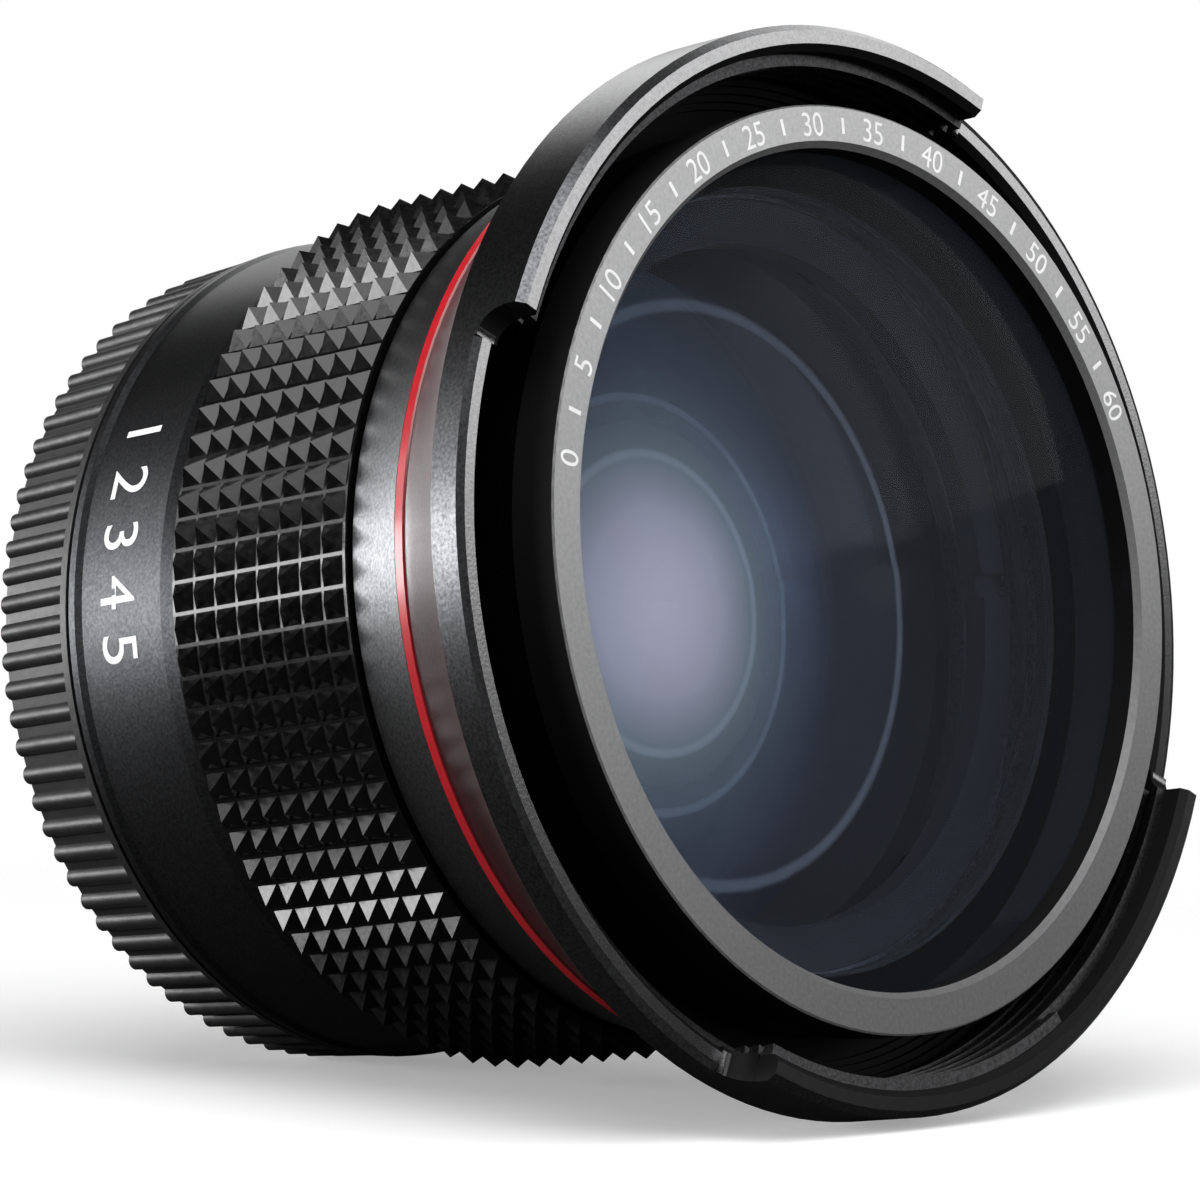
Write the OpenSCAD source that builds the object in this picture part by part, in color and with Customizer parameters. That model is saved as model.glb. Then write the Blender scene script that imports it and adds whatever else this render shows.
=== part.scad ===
/* Screw-in fisheye converter lens with petal hood, pyramid grip, macro unit and rear cap. */
// Units are millimetres. The optical axis runs along Y, the front glass faces -Y and +Z is up.
// The origin is the middle of the flat rear face of the cap.
// Each module is written about its own Z axis (rear face at 0, front glass up) and laid down once.

/* [Hood] */
// Gap between the front retaining ring and the filter thread
filter_gap = 4.22;  // [3.5:0.02:5]
// Wall of the hood outside the filter thread
hood_wall = 2.15;  // [1.8:0.05:3]
// Length of the straight hood wall, from the crease to the petal tips
hood_length = 6.9;  // [6:0.1:9]
// Length of the flare between the red ring and the crease
flare_length = 8.58;  // [8:0.1:11]
// Hollow of the flare below a straight cone
flare_hollow = 0.32;  // [0:0.02:0.5]
// How far the side rims sit below the petal tips
rim_drop = 4;  // [2:0.1:5]
// Opening angle of one petal
petal_angle = 88.5;  // [60:0.5:120]
// Turn of the petals away from straight up
petal_roll = 19;  // [-45:1:45]
// Radius of the milled corner beside a petal
corner_radius = 2;  // [1:0.1:2.4]
// Full-circle depth of the filter thread below the side rims
filter_depth = 4.5;  // [3.5:0.1:5]
// Number of steps on the black floor around the glass cell
floor_steps = 5;  // [3:1:8]
// Drop of the stepped floor
floor_drop = 2.9;  // [2:0.1:3.2]

/* [Barrels] */
// Height of the red ring over the spigot
red_height = 3.55;  // [3.2:0.05:4.5]
// Width of the red ring along the axis
red_width = 1.1;  // [0.6:0.1:2]
// Step from the grip tube up to the collar
collar_step = 1.02;  // [0.6:0.02:1.4]
// Length of the collar behind the red ring
collar_length = 6.79;  // [5:0.1:9]
// Wall of the tube under the grip
tube_wall = 3.55;  // [3:0.05:4]
// Wall of the spigot that carries the red ring and the front barrel
spigot_wall = 3;  // [2.5:0.1:3.4]
// Length of the spigot in front of the red ring
spigot_length = 3.48;  // [3:0.1:4.5]
// Radius of a grub screw
screw_radius = 1;  // [0.8:0.1:1.3]

/* [Grip] */
// Length of the grip sleeve
grip_length = 19.8;  // [16:0.1:24]
// Thickness of the sleeve under the pyramids
sleeve_wall = 1.25;  // [0.8:0.05:2]
// Pyramids in one turn of the grip
pyramids_round = 88;  // [60:1:100]
// Rows of pyramids along the grip
pyramid_rows = 8;  // [5:1:10]
// Height of one pyramid
pyramid_height = 1.2;  // [0.6:0.1:1.5]
// Width of the flat floor between two pyramids
groove_width = 0.3;  // [0.1:0.05:0.6]

/* [Front cell] */
// Step in radius from the glass in the barrel to the front glass
front_step = 3.5;  // [3:0.1:5]
// Thickness of the front glass at its edge
front_edge = 6.6;  // [6:0.1:7.5]
// Radius of curvature of the front face
front_curve = 200;  // [150:5:400]
// Radius of curvature of the hollow behind the front glass
hollow_curve = 69;  // [62:1:90]
// Centre thickness of the front glass
front_centre = 3.4;  // [2.5:0.1:4]
// Width of the seat under the front glass
front_seat = 3.25;  // [2.5:0.05:4]
// Thickness of the flange under the front glass
flange_thick = 1.1;  // [0.8:0.1:1.6]
// Wall of the cell around the front glass
cell_wall = 1.7;  // [1.2:0.1:2.2]
// Lip of the front retaining ring over the glass
lip_width = 1.05;  // [0.8:0.05:2]
// Thickness of that lip behind the end of the cell
lip_thickness = 1.1;  // [0.8:0.1:1.6]
// Thickness of the ring face in front of the cell
face_thickness = 1.4;  // [1:0.1:2]
// Wall of the ring skirt around the cell
skirt_wall = 0.5;  // [0.4:0.1:0.9]
// Length of the whole front retaining ring
name_length = 4.2;  // [3.5:0.1:5]
// Thickness of the gasket behind the front glass
seal_thick = 0.6;  // [0.4:0.1:1]

/* [Main optics] */
// Radius of the glass in the main barrel
main_glass_radius = 30.95;  // [29:0.05:33]
// Width of the glass seat in the main barrel
main_seat = 4.45;  // [3:0.05:6]
// Thickness of the wall that carries the seat
seat_wall = 1.2;  // [0.8:0.1:2]
// Centre thickness of the doublet
doublet_centre = 14.4;  // [13:0.1:16]
// Centre thickness of the rear half of the doublet
flint_centre = 2.9;  // [2:0.1:4]
// Radius of curvature of the doublet front
crown_curve = 90;  // [80:1:120]
// Radius of curvature of the cemented face
cement_curve = 110;  // [95:1:140]
// Radius of curvature of the doublet rear
flint_curve = 150;  // [130:1:250]
// Edge thickness of the second glass
second_edge = 6;  // [5:0.1:7]
// Radius of curvature of the second glass front
second_curve = 120;  // [100:1:160]
// Radius of curvature of the second glass rear
second_hollow = 74;  // [60:1:90]
// Centre thickness of the second glass
second_centre = 6.1;  // [4:0.1:7]
// Radial thickness of the baffle tube over its ridges
baffle_wall = 1.95;  // [1.5:0.05:2.5]
// Ridges inside the baffle tube
baffle_ridges = 9;  // [4:1:14]
// Radial width of the slotted retaining rings
ring_width = 3.45;  // [2.5:0.05:4]
// Thickness of the slotted retaining rings
ring_thick = 1.95;  // [1.5:0.05:2.5]
// Depth of the spanner slots
slot_depth = 0.8;  // [0.5:0.1:1.2]

/* [Macro unit] */
// Length of the macro barrel between cap and washer
macro_length = 13.36;  // [12.5:0.1:16]
// Thickness of the washer in front of the macro barrel
washer_thick = 0.24;  // [0.2:0.02:0.5]
// Wall under the thread that screws into the main barrel
macro_thread_wall = 2.45;  // [2:0.05:3.5]
// Width of the glass seats in the macro barrel
macro_seat = 2.45;  // [2:0.05:3]
// Step in radius from the front to the rear macro glass
macro_step = 0.5;  // [0.2:0.05:1]
// Radius of curvature of the two front faces of the macro glass
macro_curve = 90;  // [85:1:120]
// Radius of curvature of the rearmost glass face
macro_rear_curve = 200;  // [150:5:400]
// Edge thickness of the front macro glass
macro_edge = 1.6;  // [1.2:0.1:2]
// Edge thickness of the rear macro glass
macro_rear_edge = 4;  // [3:0.1:4.4]
// Air gap between the two macro glasses
macro_air = 1.16;  // [0.8:0.02:2]
// Distance from the collar of the macro barrel to its rear glass seat
macro_inset = 3.1;  // [2.8:0.1:4]
// Height of the smooth macro barrel over the camera thread
macro_shell = 1.45;  // [1:0.05:2]
// Height of the dark rear collar over the smooth barrel
collar_lip = 0.3;  // [0.1:0.05:0.6]
// Length of the bright chamfer at the front of the macro barrel
macro_chamfer = 2.26;  // [1.5:0.02:3]

/* [Threads] */
// Wall under the rear camera thread
camera_wall = 4.45;  // [3.5:0.05:5]
// Length of the rear camera thread
camera_thread_length = 4.8;  // [4.5:0.1:5.5]
// Length of the macro thread
macro_thread_length = 3.5;  // [2.5:0.1:3.8]

/* [Rear cap] */
// Ribs in one turn of the cap
cap_ribs = 90;  // [60:2:100]
// Wall of the cap at its closed end, below the ribs
cap_wall = 0.55;  // [0.5:0.05:1.2]
// Growth of the cap radius from the closed end to the rim
cap_taper = 0.35;  // [0:0.05:0.6]
// Radius of one rounded rib
rib_radius = 0.8;  // [0.7:0.05:0.9]
// Height of a rib over the wall
rib_height = 0.6;  // [0.4:0.05:0.7]
// Height of the plain rim over the ribs
rim_height = 0.07;  // [0:0.01:0.3]
// Width of the plain rim
cap_rim = 0.7;  // [0.4:0.1:1.5]
// Length of the cap along the axis
cap_length = 8.7;  // [8.2:0.1:10]
// Thickness of the closed end of the cap
cap_floor = 1.6;  // [1:0.1:2.2]

/* [Fits] */
// Radial play of a running thread
thread_play = 0.08;  // [0.02:0.01:0.1]
// Radial play of a glass in its bore
glass_play = 0.05;  // [0.02:0.01:0.1]
// Radial play of a fixed spigot
fixed_play = 0.02;  // [0.01:0.01:0.05]
// Gap left at the open edge of the cap
cap_gap = 0.2;  // [0.1:0.05:0.4]
// Gap between grip sleeve and collar
grip_gap = 0.33;  // [0.2:0.05:1]

/* [Hidden] */
$fn = 128;

// Small edges and breaks
edge = 0.3;
fine_edge = 0.15;
lip = 0.55;
rim_chamfer = 0.65;
petal_chamfer = 0.7;
step_down = 0.1;
over = 1;

// Radii, from the glass in the main barrel outwards
tube_bore = main_glass_radius + glass_play;
tube_radius = tube_bore + tube_wall;
collar_radius = tube_radius + collar_step;
spigot_radius = tube_bore + spigot_wall;
red_radius = spigot_radius + red_height;
front_glass_radius = main_glass_radius + front_step;
flange_radius = front_glass_radius - front_seat;
front_aperture = front_glass_radius - lip_width;
cell_radius = front_glass_radius + glass_play;
cell_outer = cell_radius + cell_wall;
skirt_radius = cell_outer + thread_play;
name_radius = skirt_radius + skirt_wall;
floor_radius = name_radius + 1;
filter_radius = name_radius + filter_gap;
hood_radius = filter_radius + hood_wall;
seat_radius = tube_bore - main_seat;
baffle_radius = main_glass_radius - baffle_wall;
ring_inner = main_glass_radius - ring_width;

// Radii of the macro unit and the cap
macro_thread_radius = main_glass_radius;
macro_bore = macro_thread_radius + thread_play;
macro_front_bore = macro_thread_radius - macro_thread_wall;
macro_front_radius = macro_front_bore - glass_play;
macro_seat_radius = macro_front_bore - macro_seat;
macro_rear_bore = macro_front_bore + macro_step;
macro_glass_radius = macro_rear_bore - glass_play;
macro_ring_inner = macro_glass_radius - ring_width;
camera_radius = macro_rear_bore + camera_wall;
macro_radius = camera_radius + macro_shell;
macro_collar = macro_radius + collar_lip;
cap_bore = camera_radius + thread_play;

// Stations along the axis, counted from the rear face of the cap
macro_rear = cap_length + cap_gap;
thread_rear = macro_rear - camera_thread_length;
macro_front = macro_rear + macro_length;
tube_rear = macro_front + washer_thick;
grip_front = tube_rear + grip_length;
collar_rear = grip_front + grip_gap;
red_rear = collar_rear + collar_length;
red_front = red_rear + red_width;
crease = red_front + flare_length;
petal_top = crease + hood_length;
rim_top = petal_top - rim_drop;
bore_floor = rim_top - filter_depth;
floor_level = bore_floor - floor_drop;
spigot_front = red_front + spigot_length;
spigot_gap = 0.6;
flange_rear = spigot_front + spigot_gap;
seat_level = flange_rear + flange_thick;
front_rear = seat_level + seal_thick;
glass_lip = front_rear + front_edge;
cell_top = glass_lip + lip_thickness;
name_top = cell_top + face_thickness;
thread_room = 0.8;
main_stop = tube_rear + macro_thread_length + thread_room;
doublet_seat = main_stop + seat_wall;
screw_inset = 3.3;
screw_level = grip_front - screw_inset;

// Heights of the glass stack in the main barrel
flint_apex = doublet_seat - sag(flint_curve, seat_radius);
crown_apex = flint_apex + doublet_centre;
cement_apex = flint_apex + flint_centre;
baffle_rear = crown_apex - sag(crown_curve, baffle_radius);
ring_inset = 0.2;
second_apex = spigot_front - ring_inset - ring_thick + sag(second_curve, ring_inner);
second_rear = second_apex - sag(second_curve, main_glass_radius) - second_edge;

// Heights of the glass in the macro unit
macro_rear_seat = macro_rear + macro_inset;
macro_rear_apex = macro_rear_seat + sag(macro_curve, macro_seat_radius);
macro_back_edge = macro_rear_seat - macro_rear_edge;
macro_back_apex = macro_back_edge - sag(macro_rear_curve, macro_glass_radius);
macro_front_seat = macro_rear_apex + macro_air;
macro_front_edge = macro_front_seat + macro_edge;
macro_front_apex = macro_front_edge + sag(macro_curve, macro_front_radius);

// Depth of a spherical surface at a given radius
function sag(curve, r) = curve - sqrt(curve * curve - r * r);

// Solid turned about the axis from a list of [radius, height] points
module turned(points) {
  rotate_extrude()
    polygon(points);
}

// Plain ring between two radii and two heights
module ring(inner, outer, low, high) {
  turned([[inner, low], [outer, low], [outer, high], [inner, high]]);
}

// Wedge of a disc around the direction +X, wide enough for the whole barrel
module wedge(angle, low, high) {
  reach = 2 * hood_radius;
  half = angle / 2;
  translate([0, 0, low])
    linear_extrude(high - low)
      polygon([[0, 0], [reach * cos(half), -reach * sin(half)], [reach, 0],
               [reach * cos(half), reach * sin(half)]]);
}

// Two spanner slots across one face of a threaded ring
module spanner_slots(radius, low, high) {
  slot = 2;
  for (side = [-1, 1])
    translate([side * radius - slot, -slot / 2, low])
      cube([2 * slot, slot, high - low]);
}

// Petal outline with the milled corners at its two feet
module petal_shape() {
  foot = asin(corner_radius / filter_radius);
  difference() {
    union() {
      wedge(petal_angle, bore_floor, petal_top + over);
      wedge(petal_angle + 2 * foot, bore_floor, rim_top + corner_radius);
    }
    for (side = [-1, 1])
      rotate([0, 0, side * (petal_angle / 2 + foot)])
        translate([filter_radius / 2, 0, rim_top + corner_radius])
          rotate([0, 90, 0])
            cylinder(r = corner_radius, h = hood_radius);
  }
}

// Flared front barrel with hood petals, filter bore, stepped floor and glass cell
module front_barrel() {
  petal_root = rim_top - over;
  foot = red_radius - step_down;
  flare_steps = 10;
  flare = [for (k = [0 : flare_steps])
    let (t = k / flare_steps)
    [foot + t * (hood_radius - foot) - 4 * flare_hollow * t * (1 - t),
     red_front + t * flare_length]];
  shelf = filter_radius - lip;
  run = (shelf - floor_radius) / floor_steps;
  fall = floor_drop / floor_steps;
  stairs = [for (k = [0 : floor_steps - 1], half = [0, 1])
    [shelf - k * run, bore_floor - (k + half) * fall]];
  color([0.11, 0.11, 0.12])
  union() {
    turned(concat(
      [[spigot_radius + fixed_play, red_front]],
      flare,
      [[hood_radius, rim_top - edge], [hood_radius - rim_chamfer, rim_top],
       [filter_radius + lip, rim_top], [filter_radius, rim_top - lip],
       [filter_radius, bore_floor]],
      stairs,
      [[floor_radius, floor_level], [cell_outer, floor_level], [cell_outer, cell_top],
       [cell_radius, cell_top], [cell_radius, seat_level], [flange_radius, seat_level],
       [flange_radius, flange_rear], [spigot_radius + fixed_play, flange_rear]]));
    intersection() {
      turned([[filter_radius, petal_root], [hood_radius, petal_root],
              [hood_radius, petal_top - petal_chamfer], [hood_radius - lip, petal_top],
              [filter_radius + lip, petal_top], [filter_radius, petal_top - lip]]);
      for (side = [90, 270])
        rotate([0, 0, side + petal_roll])
          petal_shape();
    }
  }
}

// Red band held between the main barrel and the front barrel
module red_ring() {
  color([0.72, 0.05, 0.07])
  turned([[spigot_radius + fixed_play, red_rear], [red_radius - fine_edge, red_rear],
          [red_radius, red_rear + fine_edge], [red_radius, red_front - fine_edge],
          [red_radius - fine_edge, red_front], [spigot_radius + fixed_play, red_front]]);
}

// Main barrel: spigot, collar behind the red ring and the tube that carries the grip
module main_barrel() {
  color([0.13, 0.13, 0.14])
  difference() {
    turned([[macro_bore, tube_rear], [tube_radius, tube_rear], [tube_radius, collar_rear],
            [collar_radius - edge, collar_rear], [collar_radius, collar_rear + edge],
            [red_radius - step_down, red_rear], [spigot_radius, red_rear],
            [spigot_radius, spigot_front], [tube_bore, spigot_front],
            [tube_bore, doublet_seat], [seat_radius, doublet_seat],
            [seat_radius, main_stop], [macro_bore, main_stop]]);
    for (turn = [0, 120, 240])
      rotate([0, 0, turn])
        translate([tube_bore - over, 0, screw_level])
          rotate([0, 90, 0])
            cylinder(r = screw_radius, h = tube_wall + 2 * over, $fn = 48);
  }
}

// Point of the grip surface at an angle, a height and a radius
function grip_point(angle, height, radius) =
  [radius * cos(angle), radius * sin(angle), height];

// Grip sleeve: square pyramids with flat floors between them, over a plain bore
module rubber_grip() {
  base = tube_radius + sleeve_wall;
  tip_radius = base + pyramid_height;
  pitch = (grip_length - groove_width) / pyramid_rows;
  turn = 360 / pyramids_round;
  gap = groove_width / base * 180 / PI / 2;
  columns = pyramids_round;
  levels = concat(
    [tube_rear],
    [for (j = [0 : pyramid_rows - 1], s = [0, 1])
      tube_rear + groove_width + j * pitch + s * (pitch - groove_width)],
    [grip_front]);
  layers = len(levels);
  // Floor points: two for each column on every level
  grid = [for (h = levels, i = [0 : columns - 1], s = [-1, 1])
    grip_point((i + s / 2) * turn - s * gap, h, base)];
  tips = [for (j = [0 : pyramid_rows - 1], i = [0 : columns - 1])
    grip_point(i * turn, (levels[1 + 2 * j] + levels[2 + 2 * j]) / 2, tip_radius)];
  width = 2 * columns;
  first_tip = layers * width;
  // Floor strips between the columns and between the rows
  column_floor = [for (l = [0 : layers - 2], i = [0 : columns - 1])
    [l * width + 2 * i + 1, l * width + (2 * i + 2) % width,
     (l + 1) * width + (2 * i + 2) % width, (l + 1) * width + 2 * i + 1]];
  row_floor = [for (l = [0 : 2 : layers - 2], i = [0 : columns - 1])
    [l * width + 2 * i, l * width + 2 * i + 1,
     (l + 1) * width + 2 * i + 1, (l + 1) * width + 2 * i]];
  // Four sloping sides of every pyramid
  sides = [for (j = [0 : pyramid_rows - 1], i = [0 : columns - 1])
    let (a = (1 + 2 * j) * width + 2 * i, b = a + 1, c = b + width, d = a + width,
         t = first_tip + j * columns + i)
    each [[a, b, t], [b, c, t], [c, d, t], [d, a, t]]];
  bottom = [[for (i = [width - 1 : -1 : 0]) i]];
  top = [[for (i = [0 : width - 1]) (layers - 1) * width + i]];
  color([0.06, 0.06, 0.065])
  difference() {
    polyhedron(points = concat(grid, tips),
               faces = [for (f = concat(column_floor, row_floor, sides, bottom, top))
                 [for (k = [len(f) - 1 : -1 : 0]) f[k]]]);
    translate([0, 0, tube_rear - over])
      cylinder(r = tube_radius, h = grip_length + 2 * over);
  }
}

// Three equal grub screws under the grip
module set_screws() {
  sunk = 0.2;
  socket = 1.2;
  color([0.5, 0.5, 0.52])
  for (turn = [0, 120, 240])
    rotate([0, 0, turn])
      translate([tube_bore, 0, screw_level])
        rotate([0, 90, 0])
          difference() {
            cylinder(r = screw_radius - fixed_play, h = tube_wall - sunk, $fn = 48);
            translate([0, 0, tube_wall - sunk - socket])
              cylinder(r = screw_radius / 2, h = 2 * socket, $fn = 6);
          }
}

// Front retaining ring: face, inner bevel, glass lip and outer skirt
module name_ring() {
  bevel = 0.5;
  inner_skirt = cell_radius - 0.1;
  color([0.3, 0.3, 0.31])
  turned([[front_aperture, glass_lip], [inner_skirt, glass_lip], [inner_skirt, cell_top],
          [skirt_radius, cell_top], [skirt_radius, name_top - name_length],
          [name_radius, name_top - name_length], [name_radius, name_top - fine_edge],
          [name_radius - fine_edge, name_top], [front_aperture + bevel, name_top],
          [front_aperture, name_top - bevel]]);
}

// Front glass: gently domed front, deep hollow behind
module front_element() {
  apex = glass_lip + sag(front_curve, front_aperture);
  color([0.1, 0.13, 0.2, 0.6])
  difference() {
    intersection() {
      translate([0, 0, front_rear])
        cylinder(r = front_glass_radius, h = apex);
      translate([0, 0, apex - front_curve])
        sphere(r = front_curve);
    }
    translate([0, 0, apex - front_centre - hollow_curve])
      sphere(r = hollow_curve);
  }
}

// Flat gasket under the front glass
module front_seal() {
  color([0.05, 0.05, 0.05])
  ring(flange_radius + edge, front_glass_radius, seat_level, front_rear);
}

// Slotted ring that holds the glass stack in the main barrel
module cell_retaining_ring() {
  level = second_apex - sag(second_curve, ring_inner);
  top = level + ring_thick;
  color([0.16, 0.16, 0.17])
  difference() {
    ring(ring_inner, main_glass_radius, level, top);
    spanner_slots((ring_inner + main_glass_radius) / 2, top - slot_depth, top + over);
  }
}

// Second glass: domed front and hollow rear
module second_element() {
  color([0.12, 0.18, 0.2, 0.6])
  difference() {
    intersection() {
      translate([0, 0, second_rear])
        cylinder(r = main_glass_radius, h = second_apex);
      translate([0, 0, second_apex - second_curve])
        sphere(r = second_curve);
    }
    translate([0, 0, second_apex - second_centre - second_hollow])
      sphere(r = second_hollow);
  }
}

// Spacer tube with light-trap ridges between the second glass and the doublet
module baffle_tube() {
  step = (second_rear - baffle_rear) / baffle_ridges;
  root = baffle_radius + baffle_wall / 2.4;
  teeth = [for (k = [baffle_ridges - 1 : -1 : 0], s = [1, 0])
    [s == 1 ? root : baffle_radius, baffle_rear + (k + s / 2) * step]];
  color([0.07, 0.07, 0.07])
  turned(concat([[main_glass_radius, baffle_rear], [main_glass_radius, second_rear],
                 [baffle_radius, second_rear]], teeth));
}

// Front half of the rear doublet
module crown_element() {
  color([0.15, 0.2, 0.18, 0.6])
  intersection() {
    translate([0, 0, flint_apex])
      cylinder(r = main_glass_radius, h = 2 * doublet_centre);
    translate([0, 0, crown_apex - crown_curve])
      sphere(r = crown_curve);
    translate([0, 0, cement_apex + cement_curve])
      sphere(r = cement_curve);
  }
}

// Rear half of the rear doublet
module flint_element() {
  top = cement_apex + sag(cement_curve, main_glass_radius);
  color([0.2, 0.18, 0.15, 0.6])
  difference() {
    intersection() {
      translate([0, 0, flint_apex - over])
        cylinder(r = main_glass_radius, h = top - flint_apex + over);
      translate([0, 0, flint_apex + flint_curve])
        sphere(r = flint_curve);
    }
    translate([0, 0, cement_apex + cement_curve])
      sphere(r = cement_curve);
  }
}

// Thin stop washer between the main barrel and the macro barrel
module macro_washer() {
  margin = 0.4;
  color([0.7, 0.7, 0.68])
  ring(macro_thread_radius + margin, tube_radius - margin, macro_front, tube_rear);
}

// Macro barrel with a camera thread behind and the macro thread in front
module macro_barrel() {
  collar_end = macro_rear + 1;
  chamfer = 0.5;
  color([0.1, 0.1, 0.11])
  turned([[macro_rear_bore, thread_rear], [camera_radius - edge, thread_rear],
          [camera_radius, thread_rear + edge], [camera_radius, macro_rear],
          [macro_collar - edge, macro_rear], [macro_collar, macro_rear + edge],
          [macro_collar, collar_end], [macro_radius, collar_end + 2 * edge],
          [macro_radius, macro_front - macro_chamfer],
          [macro_radius - chamfer, macro_front], [macro_thread_radius, macro_front],
          [macro_thread_radius, macro_front + macro_thread_length - edge],
          [macro_thread_radius - edge, macro_front + macro_thread_length],
          [macro_front_bore, macro_front + macro_thread_length],
          [macro_front_bore, macro_front_seat], [macro_seat_radius, macro_front_seat],
          [macro_seat_radius, macro_front_seat - seat_wall],
          [macro_front_bore, macro_front_seat - seat_wall],
          [macro_front_bore, macro_rear_seat + seat_wall],
          [macro_seat_radius, macro_rear_seat + seat_wall],
          [macro_seat_radius, macro_rear_seat], [macro_rear_bore, macro_rear_seat]]);
}

// Front glass of the macro unit
module macro_front_element() {
  color([0.12, 0.18, 0.2, 0.6])
  intersection() {
    translate([0, 0, macro_front_seat])
      cylinder(r = macro_front_radius, h = macro_length);
    translate([0, 0, macro_front_apex - macro_curve])
      sphere(r = macro_curve);
  }
}

// Slotted ring in front of the front macro glass
module macro_front_ring() {
  level = macro_front_apex - sag(macro_curve, macro_seat_radius);
  top = level + ring_thick;
  color([0.16, 0.16, 0.17])
  difference() {
    ring(macro_seat_radius, macro_front_radius, level, top);
    spanner_slots((macro_seat_radius + macro_front_radius) / 2, top - slot_depth, top + over);
  }
}

// Rear glass of the macro unit, domed on both sides
module macro_rear_element() {
  color([0.12, 0.18, 0.2, 0.6])
  intersection() {
    translate([0, 0, macro_back_apex - over])
      cylinder(r = macro_glass_radius, h = macro_length + over);
    translate([0, 0, macro_rear_apex - macro_curve])
      sphere(r = macro_curve);
    translate([0, 0, macro_back_apex + macro_rear_curve])
      sphere(r = macro_rear_curve);
  }
}

// Slotted ring behind the rear macro glass
module macro_rear_ring() {
  level = macro_back_apex + sag(macro_rear_curve, macro_ring_inner);
  low = level - ring_thick;
  color([0.16, 0.16, 0.17])
  difference() {
    ring(macro_ring_inner, macro_glass_radius, low, level);
    spanner_slots((macro_ring_inner + macro_glass_radius) / 2, low - over, low + slot_depth);
  }
}

// Rear cap: closed end, tapered wall with leaning ribs, plain rim and a bore over the thread
module rear_cap() {
  foot = cap_bore + cap_wall;
  wall_top = cap_length - cap_rim;
  lean = atan(cap_taper / wall_top);
  crest = foot + rib_height;
  color([0.09, 0.09, 0.09])
  difference() {
    union() {
      turned([[0, 0], [foot, 0], [foot + cap_taper, wall_top],
              [crest + cap_taper + rim_height, wall_top],
              [crest + cap_taper + rim_height, cap_length], [0, cap_length]]);
      intersection() {
        cylinder(r = crest + rib_radius, h = wall_top);
        for (k = [0 : cap_ribs - 1])
          rotate([0, 0, k * 360 / cap_ribs])
            translate([crest - rib_radius, 0, 0])
              rotate([0, lean, 0])
                translate([0, 0, -over])
                  cylinder(r = rib_radius, h = cap_length + over, $fn = 32);
      }
    }
    translate([0, 0, cap_floor])
      cylinder(r = cap_bore, h = cap_length);
  }
}

// Lays a piece down: its own axis points to the front
module laid() {
  rotate([90, 0, 0])
    children();
}

laid() front_barrel();
laid() red_ring();
laid() main_barrel();
laid() rubber_grip();
laid() set_screws();
laid() name_ring();
laid() front_element();
laid() front_seal();
laid() cell_retaining_ring();
laid() second_element();
laid() baffle_tube();
laid() crown_element();
laid() flint_element();
laid() macro_washer();
laid() macro_barrel();
laid() macro_front_element();
laid() macro_front_ring();
laid() macro_rear_element();
laid() macro_rear_ring();
laid() rear_cap();
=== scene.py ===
import bpy, bmesh, math
from mathutils import Vector, Matrix


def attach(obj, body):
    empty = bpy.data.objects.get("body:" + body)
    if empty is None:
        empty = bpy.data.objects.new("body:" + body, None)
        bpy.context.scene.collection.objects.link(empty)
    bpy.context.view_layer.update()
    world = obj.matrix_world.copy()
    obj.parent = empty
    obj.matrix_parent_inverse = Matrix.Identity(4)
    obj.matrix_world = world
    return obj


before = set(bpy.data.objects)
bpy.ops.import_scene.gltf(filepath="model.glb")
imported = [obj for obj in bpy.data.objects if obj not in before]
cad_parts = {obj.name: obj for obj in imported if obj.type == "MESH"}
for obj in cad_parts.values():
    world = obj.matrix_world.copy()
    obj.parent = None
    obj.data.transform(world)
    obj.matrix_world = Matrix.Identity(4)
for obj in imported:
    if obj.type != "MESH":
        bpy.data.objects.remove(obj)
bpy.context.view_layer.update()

MM = 0.001
scene = bpy.context.scene
scene.view_settings.view_transform = "Standard"

# Sizes of the solids, in mm. A height L is counted from the flat rear face of the cap.
PETAL_TOP, RIM_TOP = 66.0, 62.0
PETALS = ((109.0, 44.25), (289.0, 44.25))  # middle and half width of each petal, in degrees
BORE_FLOOR, BORE_R = 57.5, 41.0
BAND_INNER_R = 41.3
NAME_TOP, NAME_MID_R, NAME_FACE_FROM = 65.4, 35.2, 64.8
RED_REAR_EDGE = (49.40, 49.62)
MACRO_R = 34.9
THREAD_PITCH = 0.75
CAP_SPIGOT_R, CAP_SPIGOT_TOP = 33.7, 8.8
MACRO_SPIGOT_R, MACRO_SPIGOT_FLOOR = 31.2, 22.3


def P(r, deg, L):
    """point at radius r and height L in mm, at an angle round the optical axis"""
    a = math.radians(deg)
    return Vector((r * math.cos(a) * MM, -L * MM, r * math.sin(a) * MM))


def add_mesh(name, verts, faces):
    me = bpy.data.meshes.new(name)
    me.from_pydata([tuple(v) for v in verts], [], faces)
    me.validate()
    bm = bmesh.new()
    bm.from_mesh(me)
    bmesh.ops.recalc_face_normals(bm, faces=bm.faces)
    bm.to_mesh(me)
    bm.free()
    ob = bpy.data.objects.new(name, me)
    scene.collection.objects.link(ob)
    return ob


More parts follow.
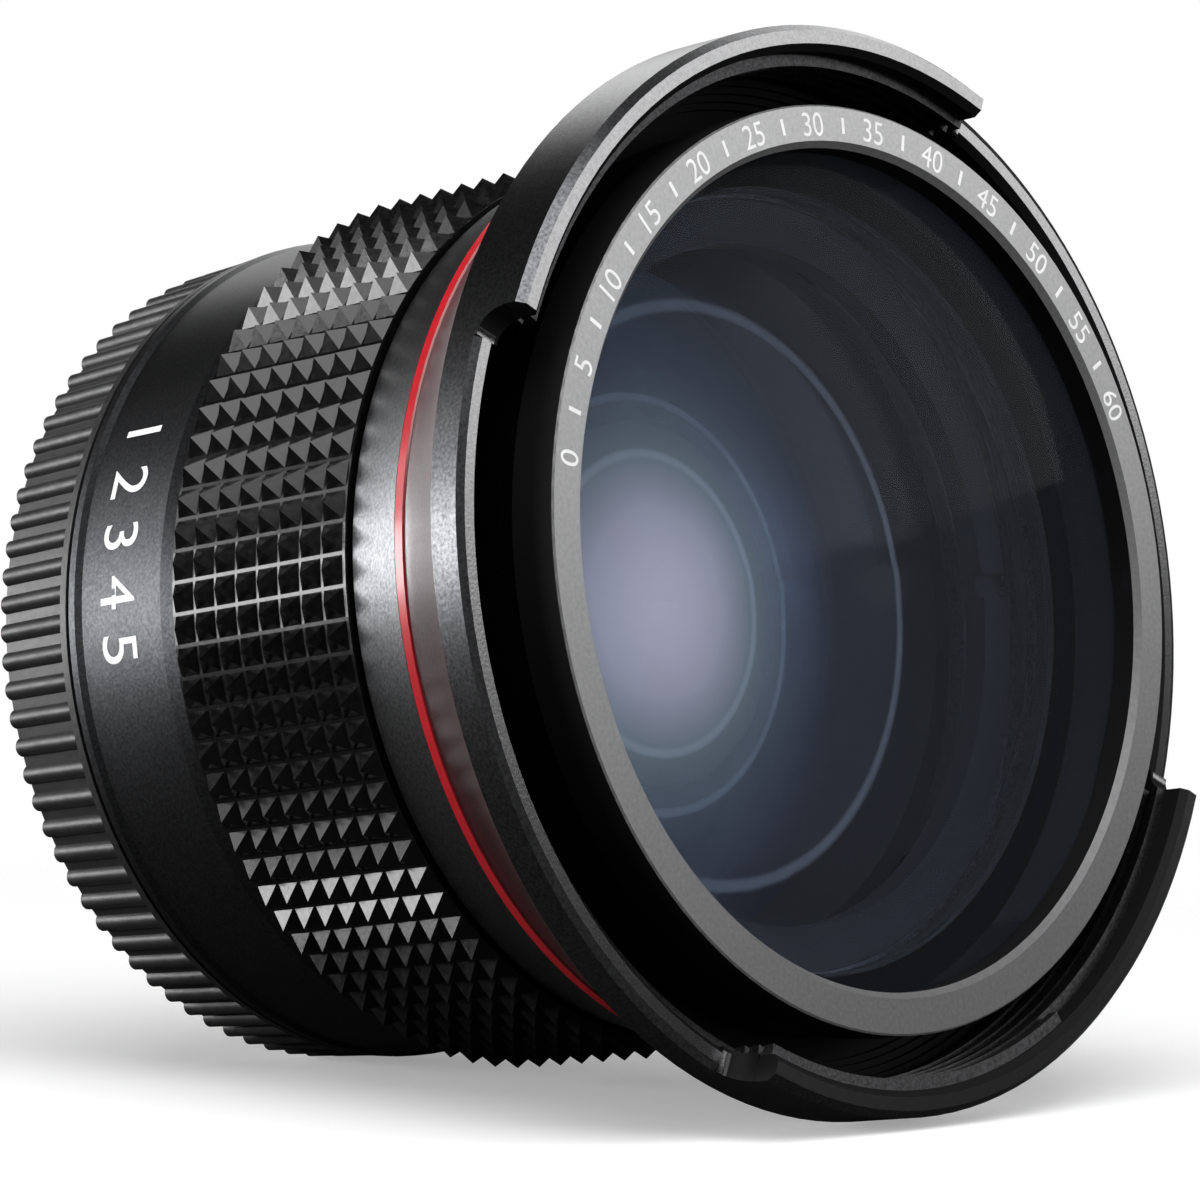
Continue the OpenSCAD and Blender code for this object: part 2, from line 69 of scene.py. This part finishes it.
class Tree:
    """shader nodes of a material or of the world"""

    def __init__(self, tree):
        self.nt = tree
        self.nt.nodes.clear()

    def node(self, kind, **kw):
        """new node; in_NAME or in_NUMBER sets an input, any other name a setting"""
        n = self.nt.nodes.new(kind)
        for k, v in kw.items():
            if k.startswith("in_"):
                key = k[3:]
                n.inputs[int(key) if key.isdigit() else key].default_value = v
            else:
                setattr(n, k, v)
        return n

    def link(self, a, b):
        self.nt.links.new(a, b)

    def maprange(self, src, a, b, c=0.0, d=1.0, smooth=False):
        """src from the range a to b into the range c to d"""
        r = self.node("ShaderNodeMapRange", in_1=a, in_2=b, in_3=c, in_4=d)
        if smooth:
            r.interpolation_type = "SMOOTHSTEP"
        self.link(src, r.inputs[0])
        return r.outputs[0]

    def math(self, op, a, b=None):
        n = self.node("ShaderNodeMath", operation=op)
        for i, v in enumerate((a, b)):
            if isinstance(v, (int, float)):
                n.inputs[i].default_value = v
            elif v is not None:
                self.link(v, n.inputs[i])
        return n.outputs[0]

    def mix_shader(self, fac, a, b):
        """shader a where fac is 0 and b where it is 1"""
        n = self.node("ShaderNodeMixShader")
        for i, v in enumerate((fac, a, b)):
            self.link(v, n.inputs[i])
        return n.outputs[0]


class Mat(Tree):
    """material around one Principled shader"""

    def __init__(self, name):
        self.m = bpy.data.materials.new(name)
        self.m.use_nodes = True
        super().__init__(self.m.node_tree)
        out = self.node("ShaderNodeOutputMaterial")
        self.b = self.node("ShaderNodeBsdfPrincipled")
        self.link(self.b.outputs[0], out.inputs[0])
        self.tc = self.node("ShaderNodeTexCoord")

    def set(self, **kw):
        """constants on inputs of the shader, with _ for each space of a name"""
        for k, v in kw.items():
            self.b.inputs[k.replace("_", " ")].default_value = v

    def feed(self, src, name):
        self.link(src, self.b.inputs[name])

    def noise(self, scale, detail, rough):
        n = self.node("ShaderNodeTexNoise", in_Scale=scale, in_Detail=detail, in_Roughness=rough)
        self.link(self.tc.outputs["Object"], n.inputs["Vector"])
        return n.outputs["Fac"]

    def ramp(self, src, stops):
        r = self.node("ShaderNodeValToRGB")
        el = r.color_ramp.elements
        while len(el) < len(stops):
            el.new(0.5)
        for e, (p, c) in zip(el, stops):
            e.position = p
            e.color = (*c, 1.0)
        self.link(src, r.inputs[0])
        return r.outputs[0]

    def mottle(self, src, lo, hi):
        """colour from lo to hi over the middle of a noise"""
        return self.ramp(src, [(0.3, lo), (0.7, hi)])

    def mix(self, fac, a, b):
        """colour a where fac is 0 and b where it is 1"""
        n = self.node("ShaderNodeMix", data_type="RGBA")
        self.link(fac, n.inputs[0])
        for i, v in ((6, a), (7, b)):
            if isinstance(v, tuple):
                n.inputs[i].default_value = (*v, 1.0)
            else:
                self.link(v, n.inputs[i])
        return n.outputs[2]

    def blend(self, fac, a, b):
        """number a where fac is 0 and b where it is 1"""
        return self.maprange(fac, 0.0, 1.0, a, b)

    def bump(self, height, strength, distance):
        n = self.node("ShaderNodeBump", in_Strength=strength, in_Distance=distance)
        self.link(height, n.inputs["Height"])
        self.feed(n.outputs[0], "Normal")
        return n

    def place(self):
        """L and r in mm, how far a face looks forward, and how far it looks outward"""
        s = self.node("ShaderNodeSeparateXYZ")
        self.link(self.tc.outputs["Object"], s.inputs[0])
        g = self.node("ShaderNodeNewGeometry")
        t = self.node("ShaderNodeSeparateXYZ")
        self.link(g.outputs["True Normal"], t.inputs[0])
        x, y, z = s.outputs
        nx, ny, nz = t.outputs
        L = self.math("MULTIPLY", y, -1000.0)
        r2 = self.math("ADD", self.math("POWER", x, 2.0), self.math("POWER", z, 2.0))
        r = self.math("SQRT", r2)
        out = self.math("ADD", self.math("MULTIPLY", x, nx), self.math("MULTIPLY", z, nz))
        out = self.math("DIVIDE", out, r)
        return L, self.math("MULTIPLY", r, 1000.0), self.math("MULTIPLY", ny, -1.0), out


# Materials
ANODISED = (0.085, 0.086, 0.090)
DEAD_BLACK = (0.006, 0.006, 0.0065)
GRAIN = (3600.0, 2.0, 0.6)  # scale, detail and roughness of the blasted grain
GRAIN_DEPTH = 0.00004


def tones(c, spread):
    """a darker and a lighter shade of a colour"""
    return tuple(v * (1 - spread) for v in c), tuple(min(1, v * (1 + spread)) for v in c)


def satin(name, base, rough, metallic=1.0, grain=0.3, spread=0.45, spec=0.5):
    """bead-blasted and anodised metal: fine grain in colour, roughness and relief"""
    m = Mat(name)
    m.set(Metallic=metallic, Specular_IOR_Level=spec)
    n = m.noise(*GRAIN)
    m.feed(m.mottle(n, *tones(base, spread)), "Base Color")
    big = m.noise(60.0, 2.0, 0.5)
    m.feed(m.maprange(big, 0.3, 0.7, rough - 0.02, rough + 0.03), "Roughness")
    m.relief = m.bump(n, grain, GRAIN_DEPTH)
    return m


barrel = satin("barrel_satin", ANODISED, 0.35)
inner = satin("inner_matt", (0.006, 0.006, 0.007), 0.62, metallic=0.0, grain=0.2, spec=0.15)
hood_in = satin("hood_ridges", (0.10, 0.10, 0.104), 0.42, grain=0.4)
steel = satin("screw_steel", (0.45, 0.45, 0.46), 0.32, grain=0.2)
washer = satin("washer_plain", (0.42, 0.42, 0.40), 0.5, metallic=0.0, grain=0.2, spread=0.06)
seal = satin("seal_rubber", (0.010, 0.010, 0.011), 0.6, metallic=0.0, grain=0.3, spec=0.2)

# Macro barrel: thread ridges on its two spigots show when the parts are unscrewed
macro = satin("macro_satin", (0.047, 0.048, 0.051), 0.38, spread=0.35)
L, r, ahead, outward = macro.place()
cap_spigot = macro.math("MULTIPLY", macro.math("LESS_THAN", r, CAP_SPIGOT_R),
                        macro.math("LESS_THAN", L, CAP_SPIGOT_TOP))
macro_spigot = macro.math("MULTIPLY", macro.math("LESS_THAN", r, MACRO_SPIGOT_R),
                          macro.math("GREATER_THAN", L, MACRO_SPIGOT_FLOOR))
thread = macro.math("MAXIMUM", cap_spigot, macro_spigot)
ridge = macro.math("SINE", macro.math("MULTIPLY", L, 2 * math.pi / THREAD_PITCH))
turns = macro.node("ShaderNodeBump", in_Strength=1.0, in_Distance=0.00022)
macro.link(macro.math("MULTIPLY", ridge, thread), turns.inputs["Height"])
macro.link(turns.outputs[0], macro.relief.inputs["Normal"])

# Front barrel: satin outside; its forward faces painted light grey, a painted sheen of the front lamps
# on the black anodising; dead black inside
hood = Mat("hood_satin")
L, r, ahead, outward = hood.place()
n = hood.noise(*GRAIN)
skin = hood.mottle(n, *tones(ANODISED, 0.42))
# painted sheen: forward faces get a lighter grey metal than the anodised skin, standing in for the
# reflection of the front lamps
front_sheen_paint = hood.mottle(n, (0.31, 0.31, 0.315), (0.39, 0.39, 0.395))
is_out = hood.maprange(outward, 0.25, 0.45)
on_front_sheen_paint = hood.math("MULTIPLY", hood.maprange(ahead, 0.93, 0.97),
                    hood.math("GREATER_THAN", r, BAND_INNER_R))
hood.feed(hood.mix(on_front_sheen_paint, hood.mix(is_out, DEAD_BLACK, skin), front_sheen_paint), "Base Color")
metal = hood.math("MAXIMUM", is_out, on_front_sheen_paint)
hood.feed(metal, "Metallic")
hood.feed(hood.math("SUBTRACT", hood.blend(metal, 0.62, 0.31), hood.math("MULTIPLY", on_front_sheen_paint, 0.09)),
          "Roughness")
hood.set(Specular_IOR_Level=0.12)
hood.bump(n, 0.2, GRAIN_DEPTH)

# Name ring: front face painted light grey, a painted sheen of the front lamps on the black ring; black
# bore and skirt
name_ring = Mat("ring_satin")
L, r, ahead, outward = name_ring.place()
n = name_ring.noise(2600.0, 3.0, 0.6)
# painted sheen: the forward face is a lighter grey metal than the rest of the ring, standing in for
# the reflection of the front lamps
face_sheen_paint = name_ring.mottle(n, (0.37, 0.37, 0.375), (0.46, 0.46, 0.465))
is_face = name_ring.math("MULTIPLY", name_ring.maprange(ahead, 0.55, 0.95),
                         name_ring.math("GREATER_THAN", L, NAME_FACE_FROM))
name_ring.feed(name_ring.mix(is_face, DEAD_BLACK, face_sheen_paint), "Base Color")
name_ring.feed(name_ring.math("MULTIPLY", is_face, 0.88), "Metallic")
name_ring.feed(name_ring.blend(is_face, 0.6, 0.33), "Roughness")
name_ring.set(Specular_IOR_Level=0.2)
name_ring.bump(n, 0.15, GRAIN_DEPTH)

# Red ring: glossy band, dark at its rear edge and on its front face
red = Mat("red_gloss")
L, r, ahead, outward = red.place()
n = red.noise(900.0, 2.0, 0.5)
enamel = red.mottle(n, (0.47, 0.013, 0.020), (0.54, 0.016, 0.025))
enamel = red.mix(red.maprange(ahead, 0.55, 0.85), enamel, (0.10, 0.006, 0.009))
red.feed(red.mix(red.maprange(L, *RED_REAR_EDGE), (0.09, 0.006, 0.008), enamel), "Base Color")
red.set(Roughness=0.27, Coat_Weight=0.3, Coat_Roughness=0.12)
red.bump(n, 0.05, 0.00003)

grip = Mat("grip_rubber")
n = grip.noise(1800.0, 4.0, 0.65)
grip.feed(grip.mottle(n, (0.001, 0.001, 0.0011), (0.0045, 0.0045, 0.0048)), "Base Color")
grip.feed(grip.maprange(n, 0.3, 0.7, 0.19, 0.27), "Roughness")
grip.set(Specular_IOR_Level=0.42)
grip.bump(n, 0.12, 0.00006)

cap = Mat("cap_plastic")
n = cap.noise(1600.0, 4.0, 0.65)
cap.feed(cap.mottle(n, (0.008, 0.008, 0.0085), (0.018, 0.018, 0.0185)), "Base Color")
cap.feed(cap.maprange(n, 0.3, 0.7, 0.40, 0.52), "Roughness")
cap.bump(n, 0.35, 0.00010)

paint = Mat("white_marks")
n = paint.noise(700.0, 2.0, 0.5)
paint.feed(paint.mottle(n, (0.78, 0.78, 0.78), (0.88, 0.88, 0.88)), "Base Color")
paint.set(Roughness=0.5)


def glass(name, tint, rough, ior, coating, front=None):
    """clear glass with a coating that dims its reflection; front is the coating of the forward face"""
    m = Mat(name)
    n = m.noise(25.0, 2.0, 0.5)
    m.feed(m.ramp(n, [(0.2, tuple(v * 0.96 for v in tint)), (0.8, tint)]), "Base Color")
    m.set(Roughness=rough, IOR=ior, Transmission_Weight=1.0)
    if front:
        ahead = m.place()[2]
        m.feed(m.mix(m.maprange(ahead, 0.2, 0.4), coating, front), "Specular Tint")
    else:
        m.set(Specular_Tint=(*coating, 1.0))
    return m


GLOW_RAMP_R = 32.0  # radius in mm at the far end of the ramps over the glass


def painted_glass_glow(m, stops, low, high):
    """painted reflection: a milky share between two heights, with rings, stands in for the reflections
    of the front lamps in the coated glass; stops are (r in mm, share that stays clear)
    """
    L, r, ahead, outward = m.place()
    share = m.ramp(m.math("DIVIDE", r, GLOW_RAMP_R), [(at / GLOW_RAMP_R, (v, v, v)) for at, v in stops])
    here = m.math("MULTIPLY", m.math("GREATER_THAN", L, low), m.math("LESS_THAN", L, high))
    m.feed(m.mix(here, (1.0, 1.0, 1.0), share), "Transmission Weight")
    return r


front_glass = glass("front_glass", (0.78, 0.86, 1.0), 0.03, 1.08, (0.9, 0.85, 1.0), (0.10, 0.12, 0.16))
front_glass.set(Transmission_Weight=0.99)
mid_glass = glass("mid_glass", (0.93, 0.94, 0.98), 0.03, 1.12, (0.6, 0.8, 0.85))
# painted reflection: a thin milky ring in the second element
painted_glass_glow(mid_glass, [(0.0, 0.97), (23.0, 0.975), (23.4, 0.84), (23.9, 0.84), (24.3, 1.0)], 44.0, 50.0)
crown_glass = glass("crown_glass", (0.8, 0.8, 0.8), 0.08, 1.25, (0.4, 0.4, 0.45))
r = painted_glass_glow(crown_glass, [(0.0, 0.02), (4.0, 0.06), (8.0, 0.24),
                       (12.1, 0.52), (12.4, 0.36), (12.8, 0.36), (13.1, 0.62),
                       (17.0, 0.72), (17.3, 0.56), (17.7, 0.56), (18.1, 0.80), (26.0, 0.90)],
         34.5, 42.0)
# painted reflection: the milky share is warm at the middle and goes over to blue outside, the colours
# of the coating's reflections
tint = crown_glass.ramp(crown_glass.math("DIVIDE", r, GLOW_RAMP_R), [
    (0.0, (1.0, 0.80, 0.72)), (0.25, (0.90, 0.76, 0.68)), (0.40, (0.62, 0.64, 0.56)),
    (0.60, (0.38, 0.42, 0.46)), (0.9, (0.24, 0.28, 0.40))])
crown_glass.feed(tint, "Base Color")
deep_glass = glass("deep_glass", (0.55, 0.62, 0.72), 0.12, 1.45, (0.3, 0.3, 0.35))

for node, mat in (("front_barrel", hood), ("main_barrel", barrel), ("red_ring", red),
                  ("rubber_grip", grip), ("set_screws", steel), ("name_ring", name_ring),
                  ("front_element", front_glass), ("front_seal", seal),
                  ("cell_retaining_ring", inner), ("second_element", mid_glass),
                  ("baffle_tube", inner), ("crown_element", crown_glass),
                  ("flint_element", deep_glass), ("macro_washer", washer),
                  ("macro_barrel", macro), ("macro_front_element", deep_glass),
                  ("macro_front_ring", inner), ("macro_rear_element", deep_glass),
                  ("macro_rear_ring", inner), ("rear_cap", cap)):
    mesh = bpy.data.objects[node].data
    mesh.materials.clear()
    mesh.materials.append(mat.m)

# Ridges inside the hood: one helix, cut off where the wall ends, in mm
RIDGE_PITCH = 1.45
RIDGE_LAND = RIDGE_PITCH * 0.78
RIDGE_BASE = BORE_FLOOR + 0.35
# radius and height of each corner of a ridge, the height from its lower edge
RIDGE_PROFILE = ((BORE_R + 0.02, 0.0), (BORE_R - 0.85, 0.18),
                 (BORE_R - 0.95, RIDGE_LAND - 0.1), (BORE_R + 0.02, RIDGE_LAND))


def wall_top(deg):
    """greatest height of a ridge at an angle"""
    for mid, half in PETALS:
        if abs((deg - mid + 180) % 360 - 180) <= half:
            return PETAL_TOP - 0.75
    return RIM_TOP - 0.7


def ridge_runs(turn):
    """unbroken stretches of one turn of the helix, as lists of (degrees, lower edge)"""
    runs, run = [], []
    for a in range(361):
        low = RIDGE_BASE + RIDGE_PITCH * (turn + a / 360.0) - RIDGE_PITCH * 0.5
        if low >= BORE_FLOOR + 0.05 and low + RIDGE_LAND <= wall_top(a):
            run.append((a, low))
        elif run:
            runs.append(run)
            run = []
    if run:
        runs.append(run)
    return [run for run in runs if len(run) >= 3]


def hood_ridges():
    verts, faces = [], []
    turn = 0
    while RIDGE_BASE + turn * RIDGE_PITCH < PETAL_TOP:
        for run in ridge_runs(turn):
            first = len(verts)
            verts += [P(r, a, low + h) for a, low in run for r, h in RIDGE_PROFILE]
            last = len(verts) - 4
            for o in range(first, last, 4):
                for j in range(4):
                    q = (j + 1) % 4
                    faces.append((o + j, o + q, o + 4 + q, o + 4 + j))
            faces.append((first, first + 1, first + 2, first + 3))
            faces.append((last + 3, last + 2, last + 1, last))
        turn += 1
    ob = add_mesh("hood_ridges", verts, faces)
    ob.data.materials.append(hood_in.m)
    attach(ob, "front_barrel")


hood_ridges()


# White marks: plain numbers and ticks
def glyphs(text, height):
    """flat outline of plain figures as (points, faces), centred on its middle, height in mm"""
    cu = bpy.data.curves.new("glyph", "FONT")
    cu.body = text
    cu.align_x = "CENTER"
    cu.size = 1.0
    cu.resolution_u = 6
    ob = bpy.data.objects.new("glyph", cu)
    scene.collection.objects.link(ob)
    bpy.context.view_layer.update()
    me = bpy.data.meshes.new_from_object(ob.evaluated_get(bpy.context.evaluated_depsgraph_get()))
    pts = [v.co.copy() for v in me.vertices]
    faces = [tuple(p.vertices) for p in me.polygons]
    bpy.data.objects.remove(ob)
    bpy.data.curves.remove(cu)
    bpy.data.meshes.remove(me)
    ys = [p.y for p in pts]
    xs = [p.x for p in pts]
    s = height / (max(ys) - min(ys))
    cx, cy = (max(xs) + min(xs)) / 2, (max(ys) + min(ys)) / 2
    return [((p.x - cx) * s, (p.y - cy) * s) for p in pts], faces


def bar(w, h):
    return [(-w / 2, -h / 2), (w / 2, -h / 2), (w / 2, h / 2), (-w / 2, h / 2)], [(0, 1, 2, 3)]


def marks(name, items, put, body):
    """items are (points, faces, place); put turns a point and a place into a position"""
    verts, faces = [], []
    for pts, fs, place in items:
        o = len(verts)
        verts += [put(x, y, place) for x, y in pts]
        faces += [tuple(o + i for i in f) for f in fs]
    ob = add_mesh(name, verts, faces)
    ob.data.materials.append(paint.m)
    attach(ob, body)


def on_face(x, y, deg):
    """a mark on the ring face reads clockwise, its top outward"""
    a = math.radians(deg)
    rad = NAME_MID_R + y
    return Vector(((rad * math.cos(a) + x * math.sin(a)) * MM, -(NAME_TOP + 0.015) * MM,
                   (rad * math.sin(a) - x * math.cos(a)) * MM))


def on_barrel(x, y, place):
    """a mark on the barrel reads downward on the photographed side, its top towards the front"""
    deg, L = place
    return P(MACRO_R + 0.02, deg + math.degrees(x / MACRO_R), L + y)


# number at every second place, tick between; angles in degrees, heights in mm
SCALE_PLACES, SCALE_FROM, SCALE_STEP, COUNT_BY = 25, 167.0, 6.0, 5
items = []
for i in range(SCALE_PLACES):
    mark = bar(0.34, 1.3) if i % 2 else glyphs(str(i // 2 * COUNT_BY), 1.9)
    items.append((*mark, SCALE_FROM - i * SCALE_STEP))
marks("ring_scale", items, on_face, "front_barrel")

WORD_FROM, WORD_STEP, WORD_L, WORD_HEIGHT = 150.5, 7.6, 14.9, 4.1
items = [(*glyphs(t, WORD_HEIGHT), (WORD_FROM + i * WORD_STEP, WORD_L)) for i, t in enumerate("12345")]
marks("macro_scale", items, on_barrel, "macro_barrel")

# Camera of the photograph: its right, down and forward
CAM_R = Vector((0.68319, -0.72515, -0.08675))
CAM_D = Vector((0, 0.11875, -0.99292))
CAM_F = Vector((0.73024, 0.67833, 0.08116))
CAM_AT = Vector((-0.3003, -0.3143, -0.0324))
CAM_LENS = 149.25


def cam_dir(right, up, back):
    """direction given in the photograph's own right, up and towards-the-camera"""
    return CAM_R * right - CAM_D * up - CAM_F * back


cd = bpy.data.cameras.new("camera")
cd.sensor_width = 36.0
cd.sensor_fit = "AUTO"
cd.lens = CAM_LENS
cd.clip_start = 0.01
cd.clip_end = 200.0
cam = bpy.data.objects.new("camera", cd)
scene.collection.objects.link(cam)
m = Matrix((CAM_R.normalized(), (-CAM_D).normalized(), (-CAM_F).normalized())).transposed().to_4x4()
m.translation = CAM_AT
cam.matrix_world = m
scene.camera = cam

# Floor: the lens lies on its hood and its cap, so the floor is tilted in the lens's own frame
HOOD_R, CAP_R, CONTACT_GAP = 43.15, 34.5, 59.1
FLOOR_Z = -34.55
FLOOR_HALF = 30.0
slope = math.atan((HOOD_R - CAP_R) / CONTACT_GAP)
normal = Vector((0, -math.sin(slope), math.cos(slope)))
me = bpy.data.meshes.new("floor")
me.from_pydata([(-FLOOR_HALF, -FLOOR_HALF, 0), (FLOOR_HALF, -FLOOR_HALF, 0),
                (FLOOR_HALF, FLOOR_HALF, 0), (-FLOOR_HALF, FLOOR_HALF, 0)], [], [(0, 1, 2, 3)])
floor = bpy.data.objects.new("floor", me)
scene.collection.objects.link(floor)
q = Vector((0, 0, 1)).rotation_difference(normal)
floor.matrix_world = Matrix.Translation(Vector((0, 0, FLOOR_Z * MM))) @ q.to_matrix().to_4x4()
fm = bpy.data.materials.new("floor")
fm.use_nodes = True
ft = Tree(fm.node_tree)
out = ft.node("ShaderNodeOutputMaterial")
path = ft.node("ShaderNodeLightPath")
pale = ft.node("ShaderNodeBsdfDiffuse", in_0=(0.80, 0.80, 0.80, 1))
glow = ft.node("ShaderNodeEmission", in_0=(1, 1, 1, 1), in_1=0.30)
add = ft.node("ShaderNodeAddShader")
ft.link(pale.outputs[0], add.inputs[0])
ft.link(glow.outputs[0], add.inputs[1])
# the far floor goes over into the white of the backdrop
geo = ft.node("ShaderNodeTexCoord")
away = ft.node("ShaderNodeVectorMath", operation="LENGTH")
ft.link(geo.outputs["Object"], away.inputs[0])
fade = ft.maprange(away.outputs["Value"], 0.10, 0.26, smooth=True)
clear = ft.node("ShaderNodeBsdfTransparent")
near = ft.mix_shader(fade, add.outputs[0], clear.outputs[0])
# the lens sees a dark floor
dim = ft.node("ShaderNodeBsdfDiffuse", in_0=(0.06, 0.06, 0.06, 1))
ft.link(ft.mix_shader(path.outputs["Is Camera Ray"], dim.outputs[0], near), out.inputs[0])
floor.data.materials.append(fm)

# World: white to the camera; metal and glass see a bright patch of backdrop above and behind
# the lens, and a dim room elsewhere
PATCH_LEVEL, ROOM_LEVEL = 2.4, 0.012
world = bpy.data.worlds.new("studio")
scene.world = world
world.use_nodes = True
wt = Tree(world.node_tree)
out = wt.node("ShaderNodeOutputWorld")
path = wt.node("ShaderNodeLightPath")
tc = wt.node("ShaderNodeTexCoord")
towards = wt.node("ShaderNodeVectorMath", operation="DOT_PRODUCT",
                  in_1=CAM_R * 0.06 - CAM_D * 0.63 + CAM_F * 0.775)
wt.link(tc.outputs["Generated"], towards.inputs[0])
patch = wt.maprange(towards.outputs["Value"], 0.895, 0.965, smooth=True)
seen = wt.math("MAXIMUM", path.outputs["Is Glossy Ray"], path.outputs["Is Transmission Ray"])
level = wt.math("ADD", wt.math("MULTIPLY", wt.math("MULTIPLY", patch, seen), PATCH_LEVEL), ROOM_LEVEL)
room = wt.node("ShaderNodeBackground", in_0=(1, 1, 1, 1))
wt.link(level, room.inputs[1])
white = wt.node("ShaderNodeBackground", in_0=(1, 1, 1, 1), in_1=1.0)
wt.link(wt.mix_shader(path.outputs["Is Camera Ray"], room.outputs[0], white.outputs[0]), out.inputs[0])

# Lamps, placed in metres about the middle of the lens
CENTRE = Vector((0, -0.035, 0))


def panel(name, mid, along, across, radiance, shape="RECTANGLE"):
    """soft light centred at mid, with its two sides given as vectors, facing the lens"""
    x = along.normalized()
    z = across.cross(along).normalized()
    if z.dot(mid) < 0:
        z = -z
    y = z.cross(x)
    ld = bpy.data.lights.new(name, "AREA")
    ld.shape = shape
    ld.size = along.length
    ld.size_y = across.length
    ld.energy = radiance * math.pi * along.length * across.length
    ob = bpy.data.objects.new(name, ld)
    scene.collection.objects.link(ob)
    m = Matrix((x, y, z)).transposed().to_4x4()
    m.translation = CENTRE + mid
    ob.matrix_world = m
    ob.visible_camera = False
    return ob


up = -CAM_D
# a bent strip at the left draws the long highlights on the barrels
bend = [cam_dir(-0.80, 0.14, 0.58), cam_dir(-0.97, 0.11, 0.20),
        cam_dir(-0.86, 0.035, -0.46), cam_dir(-0.36, -0.025, -0.92)]
for i, radiance in enumerate((12.5, 13.5, 17.0)):
    a, b = bend[i], bend[i + 1]
    panel("strip_%d" % (i + 1), (a + b) / 2, b - a, up * 0.20, radiance)
a, b = cam_dir(-0.94, 0.34, 0.0), cam_dir(-0.78, 0.27, -0.58)
panel("left_upper", (a + b) / 2, b - a, up * 0.14, 3.0)
panel("right_panel", cam_dir(0.80, 0.42, -0.06), cam_dir(0.18, 0, 0.55), up * 0.55, 1.6)
panel("top_front", cam_dir(0.1, 0.85, 0.60), cam_dir(1.0, 0, 0), cam_dir(0, 0.5, -0.7), 4.4)
# nested soft lamps in front light the painted glow in the glass and leave the front faces grey
for i, k in enumerate((1.0, 0.7, 0.42)):
    soft = panel("front_soft_%d" % (i + 1), Vector((0.13, -0.85 + 0.01 * i, -0.02)),
                 Vector((0.60, 0.08, 0)) * k, Vector((0, 0, 0.52)) * k, 2.4, shape="ELLIPSE")
    soft.visible_glossy = False

bpy.context.view_layer.update()
